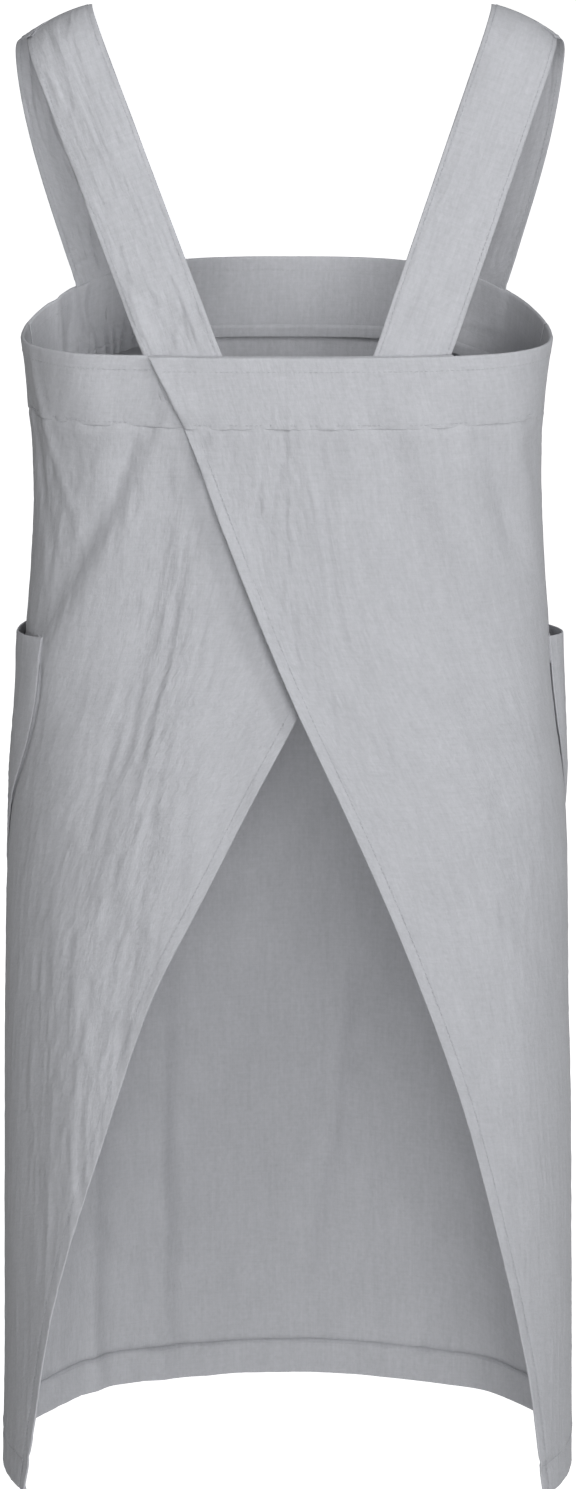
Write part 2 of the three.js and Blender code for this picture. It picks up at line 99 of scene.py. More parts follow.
# The body's outline by height: down is a share of the body's length, and the rest are shares of the half
# width and half depth at the hem, with the squareness of the outline.
FORM = table(
    "down width front back front_square back_square",
    (-0.06, 0.885, 0.66, 0.64, 2.3, 3.4),
    (0.0, 0.872, 0.68, 0.66, 2.3, 3.3),
    (0.08, 0.85, 0.72, 0.67, 2.3, 3.1),
    (0.14, 0.853, 0.76, 0.65, 2.3, 2.9),
    (0.25, 0.88, 0.74, 0.65, 2.3, 2.7),
    (0.4, 0.935, 0.8, 0.76, 2.2, 2.5),
    (0.58, 0.968, 0.88, 0.87, 2.2, 2.3),
    (0.76, 0.985, 0.95, 0.95, 2.2, 2.2),
    (1.0, 1.0, 1.0, 1.0, 2.2, 2.1),
)

# The back panels' free edges, as shares of the half width from the back centre towards the panel's own side.
UPPER_EDGE = table(
    "down across",
    (0.0, -0.51),
    (0.06, -0.382),
    (0.14, -0.243),
    (0.25, -0.04),
    (0.38, 0.215),
    (0.5, 0.42),
    (0.625, 0.593),
    (0.75, 0.718),
    (0.875, 0.824),
    (1.0, 0.886),
)
UNDER_EDGE = table(
    "down across",
    (0.0, -0.61),
    (0.14, -0.34),
    (0.28, -0.07),
    (0.36, 0.115),
    (0.44, 0.285),
    (0.523, 0.455),
    (0.58, 0.54),
    (0.65, 0.625),
    (0.75, 0.738),
    (0.84, 0.823),
    (0.93, 0.88),
    (1.0, 0.917),
)
# How far the upper panel stands off the lower one by height, as a share of the full lift.
LIFT = table(
    "down share",
    (0.0, 0.56),
    (0.08, 0.6),
    (0.28, 1.1),
    (0.45, 0.7),
    (0.7, 0.25),
    (1.0, 0.0),
)
LIFT_STARTS = 100.0  # degrees from the front centre
LIFT_FULL = 126.0

# Soft folds: each runs from turn at the height down to turn_end at down_end, in degrees from the front
# centre and positive on the wearer's right. spread is its half width in degrees, and height how far the
# cloth stands out.
FOLDS = table(
    "turn down turn_end down_end spread height",
    (-142, 0.03, -104, 0.34, 6.5, 0.0045),
    (-147, 0.05, -118, 0.48, 6, -0.003),
    (-122, 0.3, -128, 0.95, 7, 0.0025),
    (-124, -0.05, -121, 0.085, 7, 0.0038),
    (143, 0.03, 121, 0.21, 5.5, 0.0044),
    (143, 0.1, 108, 0.52, 7, -0.002),
    (-50, 0.55, -48, 1.2, 7, 0.0045),
    (-64, 0.6, -66, 1.2, 7, -0.003),
    (-22, 0.35, -26, 1.2, 8, -0.003),
    (4, 0.3, 2, 1.2, 8, 0.003),
    (26, 0.3, 30, 1.2, 8, -0.0035),
    (50, 0.55, 52, 1.2, 7, 0.0035),
)

# Finer creases, in the same columns.
CREASES = table(
    "turn down turn_end down_end spread height",
    # left back panel, beside the crossing edge and down its crinkled valley
    (-152, 0.04, -146, 0.17, 2.2, -0.0022),
    (-148, 0.05, -134, 0.3, 1.5, 0.0009),
    (-147, 0.1, -128, 0.46, 1.2, -0.0012),
    (-142, 0.12, -126, 0.4, 1.1, 0.0009),
    (-139, 0.14, -124, 0.48, 1.0, -0.0008),
    (-136, 0.16, -121, 0.5, 1.1, 0.0008),
    (-133, 0.2, -120, 0.55, 1.2, -0.0007),
    (-145, 0.3, -136, 0.66, 1.3, 0.0006),
    (-141, 0.34, -132, 0.72, 1.3, -0.0006),
    (-145, 0.06, -124, 0.42, 2.6, -0.0016),
    # the deep diagonal fold above its broad ridge
    (-147, -0.02, -105, 0.26, 3.4, -0.0045),
    # its upper left corner
    (-106, -0.02, -119, 0.17, 1.3, 0.0016),
    (-102, 0.0, -113, 0.2, 2.0, -0.0016),
    (-134, 0.02, -128, 0.14, 2.6, -0.002),
    # and lower down
    (-118, 0.42, -121, 0.9, 2.2, 0.0006),
    (-109, 0.46, -112, 0.96, 3.0, -0.0008),
    (-127, 0.55, -128, 0.85, 1.4, -0.0009),
    # right back panel
    (201, 0.05, 186, 0.17, 1.0, -0.0012),
    (197, 0.03, 181, 0.22, 1.2, 0.0012),
    (190, 0.07, 172, 0.3, 1.4, -0.001),
    (176, 0.06, 163, 0.2, 1.3, 0.0011),
    (170, 0.05, 158, 0.28, 1.6, -0.0009),
    (129, 0.02, 112, 0.19, 3.9, -0.0062),
    (119, 0.04, 108, 0.16, 2.6, 0.0014),
    (131, 0.2, 117, 0.5, 2.4, -0.0014),
    # inside of the front
    (-36, 0.6, -34.5, 1.05, 2.6, -0.0042),
    (-30, 0.55, -28, 1.05, 3.5, 0.003),
    (-52, 0.68, -51, 1.1, 2.6, -0.0042),
    (19, 0.56, 5, 0.92, 4.0, 0.005),
    (10, 0.5, -4, 0.86, 4.0, -0.002),
    (36, 0.5, 30, 0.95, 5.0, -0.0022),
    # inside of the band, beside the front tails of the straps
    (-71.2, -0.06, -71.4, 0.06, 1.2, -0.0024),
    (-67.5, -0.05, -67, 0.07, 1.5, 0.0014),
    (-63.6, -0.06, -63.6, 0.08, 1.3, -0.0028),
)

# Where the cloth is crinkled: centres in degrees and as a share down, with their spreads and strength.
CRINKLED = table(
    "turn down spread reach strength",
    (-140, 0.26, 11, 0.2, 1.5),
    (-128, 0.56, 15, 0.2, 0.8),
    (-112, 0.12, 12, 0.16, 0.7),
    (188, 0.1, 12, 0.13, 1.1),
    (165, 0.3, 22, 0.2, 0.35),
    (121, 0.34, 9, 0.2, 0.5),
    (-40, 0.92, 30, 0.12, 0.6),
)

# How far the cloth stands out from that outline at the two sides, by height.
SIDES = table(
    "down left right",
    (-0.06, 0.0, 0.0),
    (0.0, 0.0, -0.0012),
    (0.02, -0.0012, -0.0032),
    (0.04, -0.0014, -0.0037),
    (0.06, -0.0015, -0.0028),
    (0.09, -0.0018, -0.0009),
    (0.13, -0.0028, -0.0008),
    (0.19, -0.0022, -0.0006),
    (0.23, -0.0014, 0.0),
    (0.33, -0.0006, 0.0),
    (0.4, 0.0, 0.0014),
    (0.47, 0.0011, 0.0013),
    (0.57, 0.0004, 0.0),
    (0.72, 0.0, -0.0008),
    (1.0, 0.0, -0.0006),
)
SIDE_SPREAD = 15.0  # degrees

# Each strap's places on the band and the shoulder, and how far its front half bows outwards high up and
# low down.
STRAPS = table(
    "name side back crest front bulge low_bulge",
    ("left_strap", -1, 0.39, 0.149, 0.7, 0.0112, 0.001),
    ("right_strap", 1, 0.46, 0.154, 0.725, 0.008, 0.002),
)
# Each pocket's mouth below the band's top, its rear edge at the mouth and the bottom, and how far the
# mouth gapes.
POCKETS = table(
    "name side drop rear bottom gape",
    ("left_pocket", -1, 0.1975, 108.3, 84.0, 0.0045),
    ("right_pocket", 1, 0.2035, 98.0, 76.0, 0.0082),
)


def mix(a, b, share):
    return a + (b - a) * share


def smooth(value):
    value = np.clip(value, 0, 1)
    return value * value * (3 - 2 * value)


def signed(turn):
    """The same turn, from -180 to 180 degrees."""
    return (np.asarray(turn) + 180) % 360 - 180


def bell(distance, spread):
    """A soft bump: 1 in the middle, and fading out over its spread on both sides."""
    return np.exp(-((distance / spread) ** 2))


CURVE_STEPS = 1200


def table_curve(rows, column):
    """A function of the share down that runs smoothly through one column of a table."""
    at = np.array([row["down"] for row in rows])
    value = np.array([row[column] for row in rows])
    slope = np.empty(len(at))
    for i in range(len(at)):
        before, after = max(i - 1, 0), min(i + 1, len(at) - 1)
        slope[i] = (value[after] - value[before]) / (at[after] - at[before])
    fine = np.linspace(at[0], at[-1], CURVE_STEPS + 1)
    i = np.clip(np.searchsorted(at, fine, side="right") - 1, 0, len(at) - 2)
    span = at[i + 1] - at[i]
    t = (fine - at[i]) / span
    rise = value[i + 1] - value[i]
    bend = (1 - t) * (slope[i] * span - rise) - t * (slope[i + 1] * span - rise)
    curve = value[i] + t * rise + t * (1 - t) * bend
    return lambda down: np.interp(down, fine, curve)


WIDTH, FRONT_DEPTH, BACK_DEPTH = (table_curve(FORM, name) for name in ("width", "front", "back"))
FRONT_SQUARE, BACK_SQUARE = (table_curve(FORM, name) for name in ("front_square", "back_square"))
STAND_LEFT, STAND_RIGHT = (table_curve(SIDES, name) for name in ("left", "right"))
LIFT_SHARE = table_curve(LIFT, "share")


def share_down(z):
    return (BAND_TOP - z) / BODY_LENGTH


def outline(z, is_front):
    down = share_down(z)
    width = HEM_HALF_WIDTH * WIDTH(down)
    depth = HEM_HALF_DEPTH * np.where(is_front, FRONT_DEPTH(down), BACK_DEPTH(down))
    square = np.where(is_front, FRONT_SQUARE(down), BACK_SQUARE(down))
    return width, depth, square


def on_form(turn, z, out):
    """Points of the worn cloth: turn is in degrees from the front centre, and out is outside the form."""
    turn, z, out = np.broadcast_arrays(np.asarray(turn, float), z, out)
    sine, cosine = np.sin(np.radians(turn)), np.cos(np.radians(turn))
    width, depth, square = outline(z, cosine > 0)
    reach = (np.abs(sine / width) ** square + np.abs(cosine / depth) ** square) ** (-1 / square)
    x, y = reach * sine, reach * cosine
    nx = np.sign(x) * np.abs(x / width) ** (square - 1) / width
    ny = np.sign(y) * np.abs(y / depth) ** (square - 1) / depth
    size = np.hypot(nx, ny)
    return np.stack([x + nx / size * out, y + ny / size * out, z], -1)


TURN_STEP = 0.5  # degrees


def degree_length(turn, z):
    """How long one degree of the form's outline is."""
    return np.linalg.norm(on_form(turn + TURN_STEP, z, 0.0) - on_form(turn, z, 0.0), axis=-1) / TURN_STEP


def turn_at(across, z, is_front):
    """The turn of a place that lies across the body, as a share of the half width at its height."""
    width, depth, square = outline(z, is_front)
    y = depth * (1 - np.abs(across) ** square) ** (1 / square)
    return np.degrees(np.arctan2(across * width, y if is_front else -y))


def top_edge(turn):
    """The band's top edge, which rises over the bib."""
    width, depth, square = outline(BAND_TOP, True)
    sine, cosine = np.sin(np.radians(turn)), np.cos(np.radians(turn))
    forward = np.maximum(cosine, 1e-9)
    reach = (np.abs(sine / width) ** square + (forward / depth) ** square) ** (-1 / square)
    rise = BIB_RISE * (1 - np.minimum(np.abs(reach * sine / width), 1) ** 4)
    return BAND_TOP + np.where(cosine > 0, rise, 0.0)


LATTICE = 96


def wave_noise(seed, a, b):
    """Smooth seeded noise from -1 to 1 on a plane."""
    lattice = np.random.default_rng(seed).uniform(-1, 1, (LATTICE, LATTICE))
    ia, ib = np.floor(a).astype(int), np.floor(b).astype(int)
    fa, fb = a - ia, b - ib
    fa, fb = (f**3 * (f * (f * 6 - 15) + 10) for f in (fa, fb))
    corner = lambda i, j: lattice[(ia + i) % LATTICE, (ib + j) % LATTICE]
    return mix(mix(corner(0, 0), corner(1, 0), fa), mix(corner(0, 1), corner(1, 1), fa), fb)


def ridges(seed, a, b):
    """Noise with narrow raised lines, about even with the cloth on the whole."""
    return (1 - np.abs(wave_noise(seed, a, b))) ** 3 - 0.25


FORM_RADIUS = 0.170  # turns a turn into a distance round the body, near enough for noise
STRAYS = 5  # how often a fold strays along its length
EVEN_CRINKLES = 0.3  # how strongly the cloth is crinkled everywhere


def fold_rows(rows, turn, down, wander=0.0):
    """How far a table's folds push the cloth out. wander is how far they stray sideways, in degrees."""
    here = signed(turn)
    height = np.zeros(np.broadcast(turn, down).shape)
    for row in rows:
        along = (down - row["down"]) / (row["down_end"] - row["down"])
        own_seed = round(100 * row["down_end"])
        stray = wander * wave_noise(own_seed, along * STRAYS, np.zeros_like(along))
        away = here - mix(row["turn"], row["turn_end"], along) + stray
        height += row["height"] * np.sin(np.pi * np.clip(along, 0, 1)) * bell(away, row["spread"])
    return height


def crinkle_strength(turn, z):
    strength = np.full(np.broadcast(turn, z).shape, EVEN_CRINKLES)
    for row in CRINKLED:
        beside = bell(signed(turn - row["turn"]), row["spread"])
        strength += row["strength"] * beside * bell(share_down(z) - row["down"], row["reach"])
    return strength


def crinkle(turn, z):
    """Creases too fine to list one by one, which follow the drape and how crinkled the cloth is."""
    here = signed(turn)
    round_body, down = np.radians(here) * FORM_RADIUS, share_down(z)
    is_back = smooth((np.abs(here) - 88) / 10)
    sweep = np.radians(26) * (1 - np.exp(-np.maximum(down - 0.05, 0) / 0.2)) * np.sign(here)
    drift = 0.006 * wave_noise(11, round_body / 0.05, z / 0.12)
    drift = drift + 0.002 * wave_noise(12, round_body / 0.02, z / 0.05)
    across = round_body + FORM_RADIUS * sweep * is_back + drift
    long_lines = ridges(21, across / 0.009, z / 0.07)
    short_lines = ridges(22, across / 0.005, z / 0.028)
    cross_lines = ridges(24, across / 0.020, z / 0.014 + across / 0.03)
    broad = wave_noise(23, round_body / 0.04, z / 0.13)
    fine = 0.0008 * long_lines + 0.0009 * short_lines + 0.0004 * cross_lines
    return crinkle_strength(turn, z) * fine + 0.0014 * broad


def stand_at_sides(turn, down):
    here = signed(turn)
    return bell(np.abs(here) - 90, SIDE_SPREAD) * np.where(here < 0, STAND_LEFT(down), STAND_RIGHT(down))


CALM_AT_BAND = 0.35  # the share of the crinkling that the band's layers leave
CREASE_WANDER = 0.9  # degrees


def drape(turn, z):
    """How far the draped cloth stands out from the form."""
    down = share_down(z)
    calm = mix(CALM_AT_BAND, 1, smooth((down - 0.02) / 0.08))
    folds = fold_rows(FOLDS, turn, down) + fold_rows(CREASES, turn, down, CREASE_WANDER)
    return folds + calm * crinkle(turn, z) + stand_at_sides(turn, down)


class BodyPiece:
    """One of the three body pieces, with its two side edges as functions of the height.

    even is 1 for evenly spaced columns, and less where they are closer together at the start.
    """

    def __init__(self, name, start, end, lift, even=1.0):
        self.name, self.even = name, even
        self.start, self.end, self.lift = start, end, lift

    def on(self, turn, z, out):
        return on_form(turn, z, out + self.lift(turn, z) + drape(turn, z))

    def turn(self, u, beyond, z):
        """The turn of a column: u runs from edge to edge, and beyond goes past the nearer of them."""
        turn = mix(self.start(z), self.end(z), u)
        onwards = np.sign(self.end(z) - self.start(z)) * np.where(u > 0.5, 1, -1)
        return turn + onwards * beyond / degree_length(turn, z)


SEAM_GAP = 0.0002


def seam_ease(z):
    """Half the room between two pieces at a side seam, in degrees."""
    return np.degrees((HEM_FOLD / 2 + SEAM_GAP) / outline(z, True)[0])


def no_lift(turn, z):
    return np.zeros(np.broadcast(turn, z).shape)


# How far the crossing edge flares out, pinched at the band's seam.
FLARE = table(
    "down height",
    (-0.06, 0.0),
    (0.0, 0.0012),
    (0.035, 0.0032),
    (0.057, -0.0012),
    (0.09, 0.003),
    (0.24, 0.0046),
    (0.34, 0.0032),
    (0.5, 0.0006),
    (1.0, 0.0),
)
FLARE_HEIGHT = table_curve(FLARE, "height")
FLARE_REACH = 10.0  # degrees


def upper_lift(turn, z):
    """How far the upper panel stands out over the lower one and at its free edge."""
    around, down = np.asarray(turn) % 360, share_down(z)
    share = smooth((around - LIFT_STARTS) / (LIFT_FULL - LIFT_STARTS))
    edge = 1 - np.clip((RIGHT_EDGE(z) - around) / FLARE_REACH, 0, 1)
    return OVERLAP_LIFT * LIFT_SHARE(down) * share + FLARE_HEIGHT(down) * edge**2


def free_edge(rows, side):
    """The turn of a back panel's slanted edge by height, from the front centre round its own side."""
    across = table_curve(rows, "across")
    return lambda z: side * (360 - (turn_at(-across(share_down(z)), z, False) + 360) % 360)


RIGHT_EDGE = free_edge(UPPER_EDGE, 1)

# How deep the lower panel dips beneath the crossing edge.
DIP = table(
    "down depth",
    (-0.06, 0.0006),
    (0.03, 0.0012),
    (0.057, 0.0004),
    (0.09, 0.003),
    (0.16, 0.0028),
    (0.24, 0.006),
    (0.32, 0.006),
    (0.36, 0.0015),
    (0.4, 0.0),
    (1.0, 0.0),
)
DIP_DEPTH = table_curve(DIP, "depth")
DIP_PAST_EDGE = 0.3  # degrees
DIP_SPREAD = 2.2  # degrees


def lower_lift(turn, z):
    past_edge = np.asarray(turn) + 360 - RIGHT_EDGE(z)
    return -DIP_DEPTH(share_down(z)) * bell(past_edge - DIP_PAST_EDGE, DIP_SPREAD)


FRONT = BodyPiece(
    "front", lambda z: -(SIDE_SEAM_TURN - seam_ease(z)), lambda z: SIDE_SEAM_TURN - seam_ease(z), no_lift
)
LEFT_BACK = BodyPiece(
    "left_back", lambda z: -(SIDE_SEAM_TURN + seam_ease(z)), free_edge(UNDER_EDGE, -1), lower_lift, 0.45
)
RIGHT_BACK = BodyPiece("right_back", lambda z: SIDE_SEAM_TURN + seam_ease(z), RIGHT_EDGE, upper_lift)


def turned_under(beyond, radius):
    """Where cloth that goes beyond a pressed edge ends up: how far past the edge, and how far inwards."""
    arc = math.pi * radius
    angle = np.clip(beyond, 0, arc) / radius
    past = radius * np.sin(angle) - np.maximum(beyond - arc, 0)
    return past, -radius * (1 - np.cos(angle))


FOLD_STEPS = 6  # round a pressed fold
FLAP_STEP = 0.003


def beyond_stops(length, radius):
    """Distances past a pressed edge, fine round its fold and even along its allowance."""
    arc = math.pi * radius
    flap = np.linspace(arc, length + arc, max(2, round(length / FLAP_STEP)) + 1)[1:]
    return np.concatenate([np.linspace(0, arc, FOLD_STEPS + 1)[1:], flap])


# Meshes


def object_from(name, vertices, faces, smooth_faces, uvs, material):
    mesh = bpy.data.meshes.new(name)
    mesh.vertices.add(len(vertices))
    mesh.vertices.foreach_set("co", np.asarray(vertices, np.float32).ravel())
    mesh.loops.add(faces.size)
    mesh.loops.foreach_set("vertex_index", faces.ravel().astype(np.int32))
    mesh.polygons.add(len(faces))
    sides = faces.shape[1]
    mesh.polygons.foreach_set("loop_start", np.arange(0, faces.size, sides, dtype=np.int32))
    mesh.polygons.foreach_set("use_smooth", np.asarray(smooth_faces, bool))
    layer = mesh.uv_layers.new(name="Cloth")
    layer.data.foreach_set("uv", np.asarray(uvs[faces.ravel()], np.float32).ravel())
    mesh.update(calc_edges=True)
    mesh.validate()
    piece = bpy.data.objects.new(name, mesh)
    bpy.context.collection.objects.link(piece)
    mesh.materials.append(material)
    return piece


def grid_normals(grid):
    across = np.gradient(grid, axis=1)
    along = np.gradient(grid, axis=0)
    normal = np.cross(across, along)
    size = np.linalg.norm(normal, axis=-1, keepdims=True)
    return normal / np.maximum(size, 1e-12)


def grid_lengths(grid):
    """How far along its columns and rows each point of a grid lies, in metres of cloth."""
    across = np.linalg.norm(np.diff(grid, axis=1), axis=-1)
    along = np.linalg.norm(np.diff(grid, axis=0), axis=-1)
    u = np.concatenate([np.zeros((len(grid), 1)), np.cumsum(across, axis=1)], axis=1)
    v = np.concatenate([np.zeros((1, grid.shape[1])), np.cumsum(along, axis=0)], axis=0)
    return u, v


def grid_area(grid):
    a = grid[1:, :-1] - grid[:-1, :-1]
    b = grid[:-1, 1:] - grid[:-1, :-1]
    return float(np.linalg.norm(np.cross(a, b), axis=-1).sum())


def thick_cloth(name, grid, thickness, material, grain=(0, 0), crinkled=1.0):
    """A closed sheet of cloth whose middle surface is a grid of points."""
    rows, columns = grid.shape[:2]
    normal = grid_normals(grid)
    half = np.broadcast_to(thickness, (rows, columns))[..., None] / 2
    vertices = np.concatenate([(grid + normal * half).reshape(-1, 3), (grid - normal * half).reshape(-1, 3)])
    index = np.arange(rows * columns).reshape(rows, columns)
    a, b, c, d = index[:-1, :-1], index[:-1, 1:], index[1:, 1:], index[1:, :-1]
    upper = np.stack([a, b, c, d], -1).reshape(-1, 4)
    lower = upper[:, ::-1] + rows * columns
    ring = np.concatenate([index[0, :-1], index[:-1, -1], index[-1, :0:-1], index[:0:-1, 0]])
    following = np.roll(ring, -1)
    rim = np.stack([following, ring, ring + rows * columns, following + rows * columns], -1)
    faces = np.concatenate([upper, lower, rim])
    smooth_faces = np.concatenate([np.ones(len(upper) * 2, bool), np.zeros(len(rim), bool)])
    u, v = grid_lengths(grid)
    middle = u[:, columns // 2][:, None]
    uv = np.stack([u - middle + grain[0], v + grain[1]], -1).reshape(-1, 2)
    piece = object_from(name, vertices, faces, smooth_faces, np.concatenate([uv, uv]), material)
    strength = np.broadcast_to(crinkled, (rows, columns)).ravel().astype(np.float32)
    layer = piece.data.attributes.new("crinkled", "FLOAT", "POINT")
    layer.data.foreach_set("value", np.concatenate([strength, strength]))
    piece["area"] = grid_area(grid)
    piece["wide"] = float(u[:, -1].max())
    piece["long"] = float(v[-1].max())
    return piece


# A stitch is a short spindle of thread: places along its length, with the share of its full radius there.
SPINDLE = np.array([(-0.5, 0.25), (-0.32, 0.93), (0.32, 0.93), (0.5, 0.25)])
SPINDLE_SIDES = 6
STITCH_LENGTH = 0.0026
STITCH_PITCH = 0.0034
STITCH_RADIUS = 0.00024
STITCH_LEAN = 0.05  # how unevenly the stitches lean sideways


def points_along(values, run, where):
    return np.stack([np.interp(where, run, values[:, k]) for k in range(3)], -1)


def stitches(name, lines):
    """Rows of short raised threads. Each line is a list of points on the cloth and their normals."""
    rng = np.random.default_rng(7)
    centres, alongs, normals = [], [], []
    for points, normal in lines:
        run = np.concatenate([[0], np.cumsum(np.linalg.norm(np.diff(points, axis=0), axis=-1))])
        stops = np.arange(STITCH_PITCH / 2, run[-1], STITCH_PITCH)
        half = STITCH_LENGTH / 2
        along = points_along(points, run, stops + half) - points_along(points, run, stops - half)
        centres.append(points_along(points, run, stops))
        alongs.append(along / np.linalg.norm(along, axis=-1, keepdims=True))
        normals.append(points_along(normal, run, stops))
    centre, along, normal = (np.concatenate(part) for part in (centres, alongs, normals))
    normal -= (normal * along).sum(-1, keepdims=True) * along
    normal /= np.linalg.norm(normal, axis=-1, keepdims=True)
    side = np.cross(along, normal)
    lean = rng.normal(0, STITCH_LEAN, len(centre))[:, None]
    along = along + side * lean
    angle = np.arange(SPINDLE_SIDES)[:, None] * 2 * math.pi / SPINDLE_SIDES
    spread = side[:, None] * np.cos(angle) + normal[:, None] * np.sin(angle)
    rings = []
    for place, share in SPINDLE:
        middle = centre + along * place * STITCH_LENGTH + normal * STITCH_RADIUS * (1.2 * share - 0.9)
        rings.append(middle[:, None] + spread * STITCH_RADIUS * share)
    base = np.arange(len(SPINDLE) * SPINDLE_SIDES).reshape(-1, SPINDLE_SIDES)
    following = np.roll(base, -1, axis=1)
    walls = np.stack([base[:-1], base[1:], following[1:], following[:-1]], -1).reshape(-1, 4)
    ends = [ring[quad] for ring in (base[0], base[-1][::-1]) for quad in ([0, 1, 2, 3], [0, 3, 4, 5])]
    offsets = (np.arange(len(centre)) * base.size)[:, None, None]
    faces = (np.concatenate([walls, ends]) + offsets).reshape(-1, 4)
    points = np.stack(rings, 1).reshape(-1, 3)
    piece = object_from(name, points, faces, np.ones(len(faces)), points[:, :2], thread)
    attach(piece, "root")


# Materials


class Nodes:
    """Short names for building the node tree of a material or the room."""

    def __init__(self, owner, shader="Principled BSDF"):
        self.owner = owner
        owner.use_nodes = True
        self.tree = owner.node_tree
        self.shader = self.tree.nodes[shader]

    def put(self, value, socket):
        """Links a pattern to a socket, or sets a plain value on it."""
        if isinstance(value, bpy.types.NodeSocket):
            self.tree.links.new(value, socket)
        else:
            socket.default_value = value

    def add(self, kind, inputs, **settings):
        node = self.tree.nodes.new(kind)
        for key, value in settings.items():
            setattr(node, key, value)
        for key, value in inputs.items():
            self.put(value, node.inputs[key])
        return node.outputs

    def math(self, operation, *values):
        return self.add("ShaderNodeMath", dict(enumerate(values)), operation=operation)[0]

    def tint(self, colour, tone):
        """A base colour that a pattern makes lighter and darker."""
        scaled = self.add("ShaderNodeVectorMath", {0: colour, "Scale": tone}, operation="SCALE")
        self.put(scaled[0], self.shader.inputs["Base Color"])

    def bump(self, height, strength, distance, **below):
        inputs = {"Height": height, "Strength": strength, "Distance": distance}
        return self.add("ShaderNodeBump", inputs | below)[0]

    def noise(self, vector, scale, detail=2.0, stretch=(1, 1, 1), rough=0.5):
        stretched = self.add("ShaderNodeMapping", {"Scale": stretch, "Vector": vector})[0]
        inputs = {"Scale": scale, "Detail": detail, "Roughness": rough, "Vector": stretched}
        return self.add("ShaderNodeTexNoise", inputs)["Fac"]

    def bands(self, vector, direction, pitch, distortion):
        inputs = {"Vector": vector, "Scale": math.pi / 10 / pitch, "Distortion": distortion}
        inputs |= {"Detail": 1.0, "Detail Scale": 0.35}
        return self.add("ShaderNodeTexWave", inputs, wave_type="BANDS", bands_direction=direction)["Fac"]


THREAD_PITCH = 0.00062
THREAD_RELIEF = 0.0001


def cloth_material(name, colour, crinkle_height=0.00045):
    """Plain woven linen and cotton: threads, slubs, soft mottling and fine crinkles along the cloth."""
    n = Nodes(bpy.data.materials.new(name))
    uv = n.add("ShaderNodeUVMap", {}, uv_map="Cloth")["UV"]
    crinkled = n.add("ShaderNodeAttribute", {}, attribute_name="crinkled")["Fac"]
    warp = n.bands(uv, "X", THREAD_PITCH, 1.2)
    weft = n.bands(uv, "Y", THREAD_PITCH, 1.2)
    weave = n.math("MAXIMUM", warp, weft)
    warp_slub = n.noise(uv, 1.0, 2.0, (1 / 0.0012, 1 / 0.024, 1))
    weft_slub = n.noise(uv, 1.0, 2.0, (1 / 0.020, 1 / 0.0012, 1))
    slub = n.math("ADD", warp_slub, weft_slub)
    fleck = n.noise(uv, 1.0, 4.0, (1 / 0.0030, 1 / 0.0042, 1), 0.7)
    streak = n.noise(uv, 1.0, 4.0, (1 / 0.0060, 1 / 0.050, 1), 0.6)
    patch = n.noise(uv, 1.0, 3.0, (1 / 0.035, 1 / 0.045, 1), 0.6)
    tone = 1.0
    patterns = [(slub, 1.0, 0.12), (fleck, 0.5, 0.30), (streak, 0.5, 0.16), (patch, 0.5, 0.14)]
    patterns.append((weave, 0.8, 0.05))
    for pattern, average, amount in patterns:
        tone = n.math("MULTIPLY_ADD", n.math("SUBTRACT", pattern, average), amount, tone)
    n.tint(colour, tone)
    rough = n.math("MULTIPLY_ADD", n.math("SUBTRACT", fleck, 0.5), 0.12, 0.88)
    n.put(rough, n.shader.inputs["Roughness"])
    n.shader.inputs["Sheen Weight"].default_value = 0.12
    n.shader.inputs["Sheen Roughness"].default_value = 0.5
    n.shader.inputs["Specular IOR Level"].default_value = 0.25

    fine = n.noise(uv, 1.0, 3.0, (1 / 0.0026, 1 / 0.011, 1), 0.65)
    wide = n.noise(uv, 1.0, 2.0, (1 / 0.0065, 1 / 0.030, 1), 0.5)
    relief = n.math("MULTIPLY", n.math("MULTIPLY_ADD", wide, 1.4, fine), crinkled)
    relief = n.math("MULTIPLY_ADD", fleck, 0.9, relief)
    crinkles = n.bump(relief, 1.0, crinkle_height)
    threads = n.bump(n.math("MULTIPLY_ADD", slub, 0.8, weave), 0.5, THREAD_RELIEF, Normal=crinkles)
    n.put(threads, n.shader.inputs["Normal"])
    return n.owner


def thread_material(name, colour):
    """Twisted sewing thread."""
    n = Nodes(bpy.data.materials.new(name))
    where = n.add("ShaderNodeTexCoord", {})["Object"]
    twist = n.noise(where, 1800.0, 2.0)
    tone = n.math("MULTIPLY_ADD", n.math("SUBTRACT", twist, 0.5), 0.3, 1.0)
    n.tint(colour, tone)
    n.put(n.bump(twist, 1.0, 0.00006), n.shader.inputs["Normal"])
    n.shader.inputs["Roughness"].default_value = 0.7
    n.shader.inputs["Sheen Weight"].default_value = 0.1
    return n.owner


CLOTH_COLOUR = (0.445, 0.450, 0.475)
body_cloth = cloth_material("body_cloth", CLOTH_COLOUR)
band_cloth = cloth_material("band_cloth", CLOTH_COLOUR, 0.00040)
strap_cloth = cloth_material("strap_cloth", CLOTH_COLOUR, 0.00040)
thread = thread_material("sewing_thread", (0.39, 0.395, 0.42))


def finish_cloth(piece, *nodes):
    """Hangs a piece of cloth on the root body, and hides the model's parts that it replaces."""
    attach(piece, "root")
    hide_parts(*nodes)


# Body panels

PANEL_COLUMNS = 156
PANEL_ROWS = 216
DENT_DEPTH = 0.0028
HEM_SET_BACK = 0.0035  # how far a turned-up hem's corner stays behind the free edge
HEM_BULGE = 0.0015  # how far the hem's row of stitches makes the cloth above it stand out at the back
HEM_BULGE_AT_SIDES = 0.3  # the share of it at the sides
SEAM_SWELL = 0.0010  # how far the panel swells out below the band's seam
TURN_EASE = 0.004  # where the cloth comes back from its turned edge


def pocket_rear(pocket, v):
    """The turn of a pocket's rear edge, where v runs from 0 at its mouth to 1 at its bottom."""
    return mix(pocket["rear"], pocket["bottom"], smooth((v - 0.12) / 0.95))


